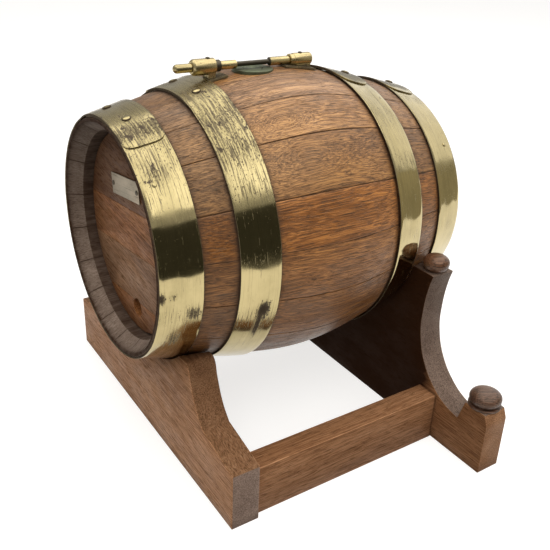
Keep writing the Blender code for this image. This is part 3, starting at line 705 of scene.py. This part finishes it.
def hoop_strip(name, band, side, inner_end_deg, lap_end_deg, tip_from_deg, tip_x):
    """A hoop: one strip wound round the barrel from its inner end, then lapped over that end."""
    way = 1.0 if lap_end_deg > inner_end_deg else -1.0
    lap_deg = abs(lap_end_deg - inner_end_deg)
    total = 360.0 + lap_deg
    tip_from = total - abs(lap_end_deg - tip_from_deg)
    near, far = band[0]
    stations = [*np.arange(0.0, tip_from, 1.5), *np.linspace(tip_from, total, 26)]
    rings, grain, tone = [], [], []
    edge = 0.00045
    for travelled in stations:
        angle = inner_end_deg + way * travelled
        turn = math.radians(angle)
        rise = min(1.0, max(0.0, (travelled - 350.0) / 9.0))
        rise = rise * rise * (3 - 2 * rise) * (HOOP_THICK + 0.0001)
        low, high = near, far
        if travelled > tip_from:
            share = (travelled - tip_from) / (total - tip_from)
            bite = 1 - math.sqrt(max(0.0, 1 - share ** 2.6))
            low += (min(tip_x) - near) * bite
            high += (max(tip_x) - far) * bite
        section = []
        width = high - low
        across = [0.0, 0.00013, edge]
        across += list(np.linspace(0.0, 1.0, 13)[1:-1] * (width - 2 * edge) + edge)
        across += [width - edge, width - 0.00013, width]
        for w in across:
            inset = min(w, width - w)
            drop = edge - math.sqrt(max(0.0, edge ** 2 - (edge - inset) ** 2)) if inset < edge else 0.0
            section.append((low + w, -drop))
        for w in (width, width - 0.0003, width / 2, 0.0003, 0.0):
            section.append((low + w, -HOOP_THICK + (0.0003 if w in (0.0, width) else 0.0)))
        ring = []
        for x, depth in section:
            spot = Vector((x * 60, math.cos(turn) * 5.0, math.sin(turn) * 5.0 + near * 99))
            wave = 0.00032 * noise.noise(spot) + 0.00010 * noise.noise(spot * 2.7)
            radius = hoop_radius(band, x) + depth + rise + wave
            ring.append(round_barrel(side * x, angle, radius))
            grain.append((turn * 0.14 + near * 31, x, 0.0))
            wear_and_shade = hoop_wear(angle, (x - near) / (far - near), near, side)
            # The hoop's very edges are darkened, partly edge dirt and partly painted shade where it
            # stands off the staves; less at the lap's tip
            if min(x - low, high - x) < 0.0002:
                wear_and_shade = 2.2 if travelled < tip_from else 0.8
            tone.append((1.0, 0.0, wear_and_shade))
        rings.append(ring)
    return lofted(name, rings), grain, tone


def hoop_wear(angle_deg, across, near, side):
    """Where a hoop is most pitted: near its top, and in a few places lower down."""
    angle = (angle_deg + 180) % 360 - 180
    top = 0.80 * math.exp(-((angle + 24) / 33) ** 2) + 0.6 * math.exp(-((angle - 40) / 30) ** 2)
    patch = 1.1 * max(0.0, noise.noise(Vector((angle / 14, near * 50, side * 3))) - 0.1)
    for centre, reach, place, spread, depth in STAINS[near] if side < 0 else ():
        far = ((angle - centre) / reach) ** 2 + ((across - place) / spread) ** 2
        patch += depth * math.exp(-far)
    share = 1.0 if side < 0 else 0.45
    return share * min(1.0, top) + patch


def dome_profile(radius, rise):
    skirt = 0.0002
    points = [(0.0, rise)]
    for i in range(1, 9):
        turn = math.radians(90 * i / 9)
        points.append((radius * math.sin(turn), skirt + (rise - skirt) * math.cos(turn) ** 0.9))
    return points + [(radius, skirt), (radius, 0.0), (0.0, 0.0)]


def on_hoop(band, side, x, angle_deg, layers):
    """The place of a rivet or tack that stands on one or two layers of a hoop."""
    slope = side * hoop_slope(band)
    angle = math.radians(angle_deg)
    normal = (Vector((0.0, math.sin(angle), math.cos(angle))) - slope * X_AXIS).normalized()
    seat = round_barrel(x, angle_deg, hoop_radius(band, x) + (layers - 1) * HOOP_THICK)
    turn = normal.to_track_quat("Z", "Y").to_matrix().to_4x4()
    return Matrix.Translation(seat + 0.0001 * normal) @ turn


def make_hoops():
    hoops = (
        ("head_hoop_front", HEAD_HOOP, -1, 17.0, -29.0, -24.5, (0.154, 0.170)),
        ("quarter_hoop_front", QUARTER_HOOP, -1, -15.0, 27.0, 21.0, (0.082, 0.100)),
        ("quarter_hoop_back", QUARTER_HOOP, 1, 22.0, -16.5, -8.0, (0.093, 0.097)),
        ("head_hoop_back", HEAD_HOOP, 1, 24.0, -17.0, -8.0, (0.167, 0.171)),
    )
    for node, *shape in hoops:
        obj, grain, tone = hoop_strip(node + "_strip", *shape)
        dress(obj, "barrel", [node], HOOP_BRASS, grain, tone)

    rivets = (
        ("front_head", HEAD_HOOP, -1, (-0.1635, -10.5), (-0.1640, 10.5)),
        ("front_quarter", QUARTER_HOOP, -1, (-0.0920, -9.0), (-0.0900, 12.5)),
        ("back_quarter", QUARTER_HOOP, 1, (0.0990, -2.5), (0.0880, 13.0)),
        ("back_head", HEAD_HOOP, 1, (0.1720, 1.0), (0.1640, 17.0)),
    )
    for title, band, side, *seats in rivets:
        for number, (x, angle) in enumerate(seats, 1):
            node = f"{title}_rivet_{number}"
            place = on_hoop(band, side, x, angle, 2)
            obj = lathe(node + "_head", dome_profile(0.0045, 0.0018), place, 40)
            from_middle = np.linalg.norm(points_of(obj) - np.array(place.translation), axis=1)
            tone = [(1.0, 0.0, 2.2 if reach > 0.0040 else 0.3) for reach in from_middle]
            dress(obj, "barrel", [node], HOOP_BRASS, tone=tone)

    tacks = (("front_hoop_tack", -1, -0.1690, -47.5), ("back_hoop_tack", 1, 0.1700, -52.0))
    for node, side, x, angle in tacks:
        place = on_hoop(HEAD_HOOP, side, x, angle, 1)
        obj = lathe(node + "_head", dome_profile(0.0023, 0.0010), place, 32)
        dress(obj, "barrel", [node], HOOP_BRASS, tone=(1.0, 0.0, 0.3))


# ---- name plate and screws

def block(name, size, place):
    bm = bmesh.new()
    bmesh.ops.create_cube(bm, size=1.0)
    bmesh.ops.scale(bm, vec=size, verts=bm.verts)
    obj = piece_from(name, bm)
    obj.data.transform(place)
    return obj


def slotted_screw(name, radius, rise, place, slot_deg):
    obj = lathe(name, dome_profile(radius, rise), Matrix.Identity(4), 40)
    turn = Matrix.Translation((0, 0, rise)) @ Matrix.Rotation(math.radians(slot_deg), 4, "Z")
    combine(obj, [block("slot_cutter", (3 * radius, 0.28 * radius, 0.9 * rise), turn)], "DIFFERENCE")
    obj.data.transform(place)
    return smooth_piece(obj)


def make_name_plate():
    place = Matrix.Translation(middle("name_plate")) @ Matrix.Rotation(-math.radians(7.5), 4, "X")
    obj = block("name_plate_brass", (0.0012, 0.067, 0.022), Matrix.Identity(4))
    bevel_edges(obj, 0.0004, 3)
    obj.data.transform(place)
    turn = GRAIN_ALONG_Y @ place.inverted()
    dress(obj, "barrel", ["name_plate"], OLD_BRASS, turn, (1.0, 0.0, 0.25))
    for number, side in ((1, -1), (2, 1)):
        seat = place @ Matrix.Translation((-0.0006, side * 0.0296, 0.0)) @ ALONG_MINUS_X
        obj = slotted_screw(f"name_plate_screw_{number}_head", 0.0026, 0.0011, seat, 35 * side + 10)
        dress(obj, "barrel", [f"name_plate_screw_{number}"], DARK_BRASS)


# ---- locking bar, bosses and bung

def crest_block(name, low_x, high_x, half_width, lift, top):
    """A block whose underside follows the crest of the barrel at a lift, up to top(x)."""
    rings = []
    for x in np.linspace(low_x, high_x, 16):
        low = AXIS_Z + stave_radius(x) + lift
        corners = ((-half_width, low), (half_width, low), (half_width, top(x)), (-half_width, top(x)))
        rings.append([(x, y, z) for y, z in corners])
    return lofted(name, rings)


def foot_top(x):
    return AXIS_Z + stave_radius(x) + HOOP_GAP + FOOT_PLATE_THICK


def boss(node, profile, foot_x, neck_x, neck_half, screw_x, top_r):
    """A bored boss on its neck and foot plate, with a set screw of its own."""
    obj = lathe(node + "_brass", profile, BAR_AXIS, 72)
    foot = crest_block("foot", *foot_x, FOOT_PLATE_HALF_WIDTH, HOOP_GAP, foot_top)
    neck = crest_block("neck", *neck_x, neck_half, HOOP_GAP + FOOT_PLATE_THICK / 2,
                       lambda x: AXIS_Z + BAR_Z - BAR_R / 3)
    profile = [(0.0, BAR_BORE_END_X), (BAR_BORE_R, BAR_BORE_END_X), (BAR_BORE_R, -0.12), (0.0, -0.12)]
    bore = lathe("bore", profile, BAR_AXIS, 60)
    seat = Matrix.Translation((screw_x, 0.0, AXIS_Z + BAR_Z + top_r))
    hole = lathe("hole", [(0.0, 0.01), (0.0025, 0.01), (0.0025, -0.0012), (0.0, -0.0012)], seat, 44)
    combine(obj, [hole], "DIFFERENCE")
    combine(obj, [neck, foot], "UNION")
    combine(obj, [bore], "DIFFERENCE")
    smooth_piece(obj, 30)
    tone = [(1.0, 0.0, 1.3 if z < foot_top(x) + 0.001 else 0.30) for x, _y, z in points_of(obj)]
    dress(obj, "barrel", [node], BAR_BRASS, tone=tone)
    screw = slotted_screw(node + "_set_screw_head", 0.0022, 0.0012, seat, 20)
    dress(screw, "barrel", [node + "_set_screw"], DARK_BRASS)


def make_bosses():
    profile = [(0.0, -0.0610), (0.0080, -0.0610), (0.0080, -0.0835), (0.0062, -0.0860), (0.0, -0.0860)]
    profile = rounded(profile, 0.0008)
    boss("front_boss", profile, (-0.0710, -0.0495), (-0.0700, -0.0620), 0.006, -0.0677, 0.0080)
    profile = [(0.0, 0.0545), (0.0055, 0.0545), (0.0065, 0.0530), (0.0065, 0.0327), (0.0060, 0.0325),
               (0.0060, 0.0278), (0.0, 0.0278)]
    profile = rounded(profile, 0.0006)
    boss("back_boss", profile, (0.0190, 0.0575), (0.0350, 0.0525), 0.005, 0.0417, 0.0065)
    ring = [(BAR_BORE_R, -0.0547), (0.0058, -0.0547), (0.0058, -0.0607), (BAR_BORE_R, -0.0607)]
    ring = rounded(ring, 0.0006)
    obj = lathe("bar_collar_ring", ring + [ring[0]], BAR_AXIS, 64)
    dress(obj, "barrel", ["bar_collar"], DARK_BRASS)


def make_bar():
    """The locking bar, with its thin, dark waist."""
    low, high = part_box("locking_bar")
    waist_low, waist_high = BAR_WAIST_X
    profile = [(0.0, high.x), (BAR_R - 0.001, high.x), (BAR_R, high.x - 0.0015),
               (BAR_R, waist_high + 0.0015), (BAR_WAIST_R, waist_high),
               (BAR_WAIST_R, waist_low), (BAR_R, waist_low - 0.0015)]
    for angle in range(0, 91, 10):
        turn = math.radians(angle)
        profile.append((BAR_R * math.cos(turn), low.x + BAR_R * (1 - math.sin(turn))))
    obj = lathe("locking_bar_brass", profile, BAR_AXIS, 64)
    dress(obj, "bar", ["locking_bar"], BAR_BRASS, tone=(1.0, 0.0, 0.2))
    obj.data.materials.append(DARK_BRASS)
    for face in obj.data.polygons:
        if waist_low - 0.0012 < face.center.x < waist_high + 0.0012:
            face.material_index = 1


def make_bung():
    low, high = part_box("bung_plate")
    x = (low.x + high.x) / 2
    reach = (high.x - low.x) / 2
    at_bung = Matrix.Translation((x, 0.0, 0.0))
    top = high.z
    ring = [(0.0103, top - 0.0006), (0.0109, top), (reach - 0.0012, top), (reach - 0.0002, top - 0.0006),
            (reach, top - 0.0018), (reach, top - 0.0045), (0.0130, top - 0.0045), (0.0130, top - 0.0138),
            (0.0092, top - 0.0138)]
    obj = lathe("bung_plate_brass", ring + [ring[0]], at_bung, 96)
    dress(obj, "barrel", ["bung_plate"], BUNG_BRASS, tone=(1.0, 0.0, 0.5))
    low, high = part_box("bung")
    top = high.z
    profile = [(0.0, top - 0.0007), (0.0035, top - 0.0007), (0.0042, top - 0.0002), (0.0050, top),
               (0.0092, top), (0.0099, top - 0.0006), (0.0088, low.z + 0.0006), (0.0082, low.z),
               (0.0, low.z)]
    obj = lathe("bung_brass_plug", profile, at_bung, 72)
    dress(obj, "bung", ["bung"], BUNG_BRASS, tone=(1.0, 0.0, 0.3))


# ---- stand

SMOOTH = "AUTO"


def flat_board(name, half, x_low, x_high):
    """A board from half its outline, as (y, z), or (y, z, SMOOTH) where it curves."""
    outline = half + [(-y, *rest) for y, *rest in reversed(half)]
    curve = bpy.data.curves.new(name + "_outline", "CURVE")
    curve.dimensions = "2D"
    curve.fill_mode = "BOTH"
    curve.extrude = (x_high - x_low) / 2
    curve.resolution_u = 16
    spline = curve.splines.new("BEZIER")
    spline.bezier_points.add(len(outline) - 1)
    for point, (y, z, *smooth) in zip(spline.bezier_points, outline):
        point.co = (y, z, 0.0)
        point.handle_left_type = point.handle_right_type = SMOOTH if smooth else "VECTOR"
    spline.use_cyclic_u = True
    flat = link_piece(name + "_outline", curve)
    flat.location.x = (x_low + x_high) / 2
    flat.rotation_euler = (math.radians(90), 0.0, math.radians(90))
    bm = bmesh.new()
    bm.from_mesh(evaluated_mesh(flat))
    bmesh.ops.remove_doubles(bm, verts=bm.verts, dist=0.000001)
    bmesh.ops.dissolve_limit(bm, angle_limit=math.radians(0.4), verts=bm.verts, edges=bm.edges)
    bmesh.ops.transform(bm, matrix=flat.matrix_world, verts=bm.verts)
    bpy.data.objects.remove(flat, do_unlink=True)
    return piece_from(name, bm)


def cradle_cutter(side):
    """A slice of the barrel's cone, which hollows a board to fit it."""
    near, far, seat = 0.108, 0.152, 0.1135
    seat_r = stave_radius(seat) + 0.0006
    near_r = seat_r + (seat - near) * 0.165
    far_r = seat_r - (far - seat) * 0.165
    profile = [(0.0, far), (far_r, far), (near_r, near), (0.0, near)]
    return lathe("cradle_cutter", profile, BARREL @ (ALONG_X if side > 0 else ALONG_MINUS_X), 256)


def finish_board(obj, node, side, number):
    """Hollow a board for the barrel, ease its edges and dress it."""
    combine(obj, [cradle_cutter(side)], "DIFFERENCE")
    bevel_edges(obj, BOARD_EASE)
    grain = Matrix.Translation((0.9 * number, 0.41 * number, 0.13)) @ GRAIN_ALONG_Y
    tone = board_tone(obj, BOARD_TONES[number - 1], -side)
    dress(obj, "stand", [node], STAND_OAK, grain, tone)


def make_boards():
    low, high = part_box("front_board")
    half = [(high.y, 0.000), (high.y, 0.064), (0.1370, 0.077), (0.1248, 0.091, SMOOTH),
            (0.1130, 0.116, SMOOTH), (0.1075, 0.132, SMOOTH), (0.1030, high.z)]
    finish_board(flat_board("front_board_oak", half, low.x, high.x), "front_board", -1, 1)

    low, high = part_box("back_board")
    foot_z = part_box("near_foot_knob")[0].z - 0.0003
    half = [(high.y, 0.000), (high.y, foot_z - 0.0105), (high.y - 0.0045, foot_z),
            (0.2285, foot_z), (0.2215, 0.0468), (0.2030, 0.0512, SMOOTH), (0.1870, 0.0600, SMOOTH),
            (0.1655, 0.0830, SMOOTH), (0.1535, 0.1150, SMOOTH), (0.1523, 0.1450, SMOOTH),
            (0.1562, 0.1750, SMOOTH), (0.1600, high.z)]
    finish_board(flat_board("back_board_oak", half, low.x, high.x), "back_board", 1, 2)


def sliced(obj, cuts):
    """Add edges along planes, given as an axis and a place on it, for the tone to vary between."""
    bm = bmesh.new()
    bm.from_mesh(obj.data)
    for axis, place in cuts:
        normal = Vector([float(index == axis) for index in range(3)])
        bisect(bm, normal * place, normal, 0.000001)
    bm.to_mesh(obj.data)
    bm.free()
    smooth_piece(obj)


def board_tone(obj, value, inner_side):
    """Painted shade where the barrel lies and on the sheltered inner side between the rails, which the
    barrel shades; darker also along the floor, and on the sweeps.
    """
    cuts = [(1, y) for y in (-0.19, -0.165, -0.13, -0.09, -0.045, 0.0, 0.045, 0.09, 0.13, 0.165, 0.19)]
    cuts += [(2, z) for z in (0.012, 0.03, 0.055, 0.085, 0.115, 0.145)]
    sliced(obj, cuts)
    points = points_of(obj)
    is_front = inner_side > 0
    inner_x = points[:, 0].max() if is_front else points[:, 0].min()
    end_y = points[:, 1].max() - 0.006
    tone = []
    for (x, y, z), vertex in zip(points, obj.data.vertices):
        # Painted shade near the barrel and on the inner face between the rails; darker along the floor
        near_barrel = math.exp(-max(0.0, math.hypot(y, z - AXIS_Z) - 0.137) / 0.010)
        near_floor = math.exp(-z / 0.004)
        on_inner = abs(x - inner_x) < 0.0005
        inner_face_shade = 1.45 - 0.13 * max(0.0, min(1.0, (abs(y) - 0.10) / 0.05))
        inner_face_shade *= max(0.0, min(1.0, (0.185 - abs(y)) / 0.02)) if on_inner else 0.0
        end_grain = abs(vertex.normal.y) > 0.8 and abs(y) > end_y
        sweep = abs(vertex.normal.x) < 0.4 and not end_grain
        face, warmth = 1.0, 0.08
        if end_grain:
            face, warmth = (0.57, -0.55) if is_front else (0.98, 0.08)
        # The sweeps are darker: painted shade under the barrel
        if sweep:
            face, warmth = (0.42, 0.08) if is_front else (0.51, -0.55)
        if on_inner and not is_front:
            face, warmth = 0.80, 0.35
        soil_and_shade = min(0.9, 0.8 * near_barrel + 0.3 * near_floor)
        tone.append((value * face, warmth, max(soil_and_shade, inner_face_shade)))
    return tone


def make_rails():
    """Rails paler along their top edges and darker where they meet the boards, with their long sides
    painted lighter than their tops, painted light.
    """
    for title in ("near", "far"):
        low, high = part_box(title + "_rail")
        obj = block(title + "_rail_oak", high - low, Matrix.Translation((low + high) / 2))
        bevel_edges(obj, RAIL_EASE)
        steps = (0.0012, 0.003, 0.012)
        sliced(obj, [(0, low.x + step) for step in steps] + [(0, high.x - step) for step in steps])
        tone = []
        for x, y, z in points_of(obj):
            dirt_and_shade = 0.9 * math.exp(-(min(x - low.x, high.x - x) / 0.0022) ** 2)
            on_side = min(abs(y - low.y), abs(y - high.y)) < RAIL_ON_FACE
            on_top = min(abs(z - low.z), abs(z - high.z)) < RAIL_ON_FACE
            # The long sides are painted lighter than the tops: painted light
            if on_side and on_top:
                tone.append((1.9, 0.0, dirt_and_shade))
            else:
                tone.append((1.15 if on_side else 0.98, 0.25, dirt_and_shade))
        turn = Matrix.Translation((1.7, 0.2 if title == "near" else 0.8, 0.05))
        dress(obj, "stand", [title + "_rail"], STAND_OAK, turn, tone)


# Half outlines of the knobs, from the top down
HORN_KNOB = (
    (0.0, 0.0172), (0.0030, 0.0171), (0.0065, 0.0165), (0.0095, 0.0155), (0.0118, 0.0138),
    (0.0135, 0.0118), (0.0144, 0.0095), (0.0143, 0.0070), (0.0134, 0.0040), (0.0120, 0.0018),
    (0.0105, 0.0), (0.0, 0.0),
)
FOOT_KNOB = (
    (0.0, 0.0175), (0.0040, 0.0174), (0.0085, 0.0168), (0.0118, 0.0158), (0.0145, 0.0142),
    (0.0163, 0.0121), (0.0170, 0.0095), (0.0167, 0.0068), (0.0155, 0.0045), (0.0140, 0.0032),
    (0.0140, 0.0025), (0.0168, 0.0023), (0.0172, 0.0018), (0.0172, 0.0), (0.0, 0.0),
)


def make_knobs():
    turn = Matrix.Rotation(math.radians(65), 4, "X") @ Matrix.Rotation(math.radians(30), 4, "Z")
    kinds = (("horn", HORN_KNOB, (1.05, 0.6, 0.0)), ("foot", FOOT_KNOB, (0.92, 0.1, 0.0)))
    for title in ("near", "far"):
        for kind, profile, tone in kinds:
            node = f"{title}_{kind}_knob"
            centre = middle(node)
            place = Matrix.Translation((centre.x, centre.y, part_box(node)[0].z))
            obj = lathe(node + "_oak", rounded(profile, 0.0012, 2), place, 64)
            dress(obj, "stand", [node], KNOB_OAK, turn, tone)


# ---- floor, light and camera

WARM_WHITE = (1.0, 0.985, 0.96)


def grid_piece(name, segments, half_size, material):
    bm = bmesh.new()
    bmesh.ops.create_grid(bm, x_segments=segments, y_segments=segments, size=half_size)
    grid = link_piece(name, mesh_from(name, bm))
    grid.data.materials.append(material)
    return grid


def make_floor():
    material, tree, shader = new_material("pale_floor")
    place = add(tree, "TexCoord").outputs["Object"]
    cloud = noise_at(tree, place, (3.0, 3.0, 3.0))
    paper = ramp(tree, cloud, [(0.3, (0.43, 0.425, 0.42)), (0.7, (0.45, 0.445, 0.44))])
    tree.links.new(paper, shader.inputs["Base Color"])
    shader.inputs["Roughness"].default_value = 0.9
    shader.inputs["Specular IOR Level"].default_value = 0.1
    shader.inputs["Emission Color"].default_value = (1.0, 0.99, 0.975, 1.0)
    shader.inputs["Emission Strength"].default_value = 0.72
    floor = grid_piece("floor", 8, 14.0, material)
    floor.location.z = -0.0002
    floor.visible_diffuse = False


def make_flag(name, place, size, turn_deg, glow):
    """A dark studio flag on the camera's side, seen only in reflections."""
    material, tree, shader = new_material(name)
    height = add(tree, "SeparateXYZ", {0: add(tree, "TexCoord").outputs["Object"]}).outputs[1]
    shade = ramp(tree, height, [(0.0, glow), (1.0, [c * 1.3 for c in glow])])
    tree.links.new(shade, shader.inputs["Emission Color"])
    shader.inputs["Emission Strength"].default_value = 1.0
    shader.inputs["Base Color"].default_value = (0.01, 0.01, 0.01, 1.0)
    shader.inputs["Roughness"].default_value = 0.9
    flag = grid_piece(name, 1, 0.5, material)
    flag.scale = (*size, 1.0)
    flag.rotation_euler = (math.radians(90), 0.0, math.radians(turn_deg))
    flag.location = place
    for ray in ("camera", "diffuse", "shadow", "transmission"):
        setattr(flag, "visible_" + ray, False)


def area_light(name, place, aim, size, power, colour=WARM_WHITE):
    data = bpy.data.lights.new(name, "AREA")
    data.shape = "RECTANGLE"
    data.size, data.size_y = size
    data.energy = power
    data.color = colour
    lamp = link_piece(name, data)
    lamp.location = place
    lamp.rotation_euler = (Vector(aim) - Vector(place)).to_track_quat("-Z", "Y").to_euler()
    return lamp


def make_light():
    """A pale room that is dimmer below, under a broad overhead softbox."""
    world = bpy.data.worlds.new("studio")
    bpy.context.scene.world = world
    world.use_nodes = True
    tree = world.node_tree
    height = add(tree, "SeparateXYZ", {0: add(tree, "TexCoord").outputs["Generated"]}).outputs[2]
    glow = span(tree, height, -0.25, 0.35, 0.22, 0.50)
    backdrop = tree.nodes["Background"]
    backdrop.inputs[0].default_value = rgb(WARM_WHITE)
    tree.links.new(glow, backdrop.inputs[1])
    area_light("overhead", (0.6, 0.25, 2.3), (0.6, 0.25, 0.0), (3.8, 3.0), 60.0)
    area_light("right", (2.9, 0.60, 1.3), (0.0, 0.2, 0.3), (3.2, 1.5), 13.0)
    area_light("front", (0.35, -1.95, 2.3), (0.35, -1.95, 0.0), (2.2, 1.7), 21.0)
    key = area_light("key", (-1.0, -1.6, 1.9), (0.0, 0.0, 0.2), (1.4, 1.4), 17.0, (1.0, 0.97, 0.93))
    key.visible_glossy = False
    bpy.context.scene.view_settings.view_transform = "Standard"


def make_camera():
    data = bpy.data.cameras.new("camera")
    data.sensor_width = 36.0
    data.lens = 47.74
    data.shift_x = 0.0106
    data.shift_y = -0.0347
    data.clip_start = 0.01
    camera = link_piece("camera", data)
    forward = Vector((0.50203, 0.75310, -0.42521)).normalized()
    right = forward.cross(Vector((0.0, 0.0, 1.0))).normalized()
    up = right.cross(forward)
    roll = math.radians(2.16)
    right, up = math.cos(roll) * right + math.sin(roll) * up, math.cos(roll) * up - math.sin(roll) * right
    turn = Matrix((right, up, -forward)).transposed().to_4x4()
    camera.matrix_world = Matrix.Translation((-0.41157, -0.63660, 0.52927)) @ turn
    bpy.context.scene.camera = camera


make_staves()
make_heads()
make_hoops()
make_name_plate()
make_bosses()
make_bar()
make_bung()
make_boards()
make_rails()
make_knobs()
make_floor()
make_flag("dark_flag", (-0.08, -0.80, 0.32), (1.20, 0.64), 0.0, (0.020, 0.020, 0.012))
make_flag("grey_flag", (1.42, -0.50, 0.30), (1.95, 0.60), 18.0, (0.37, 0.34, 0.25))
make_light()
make_camera()
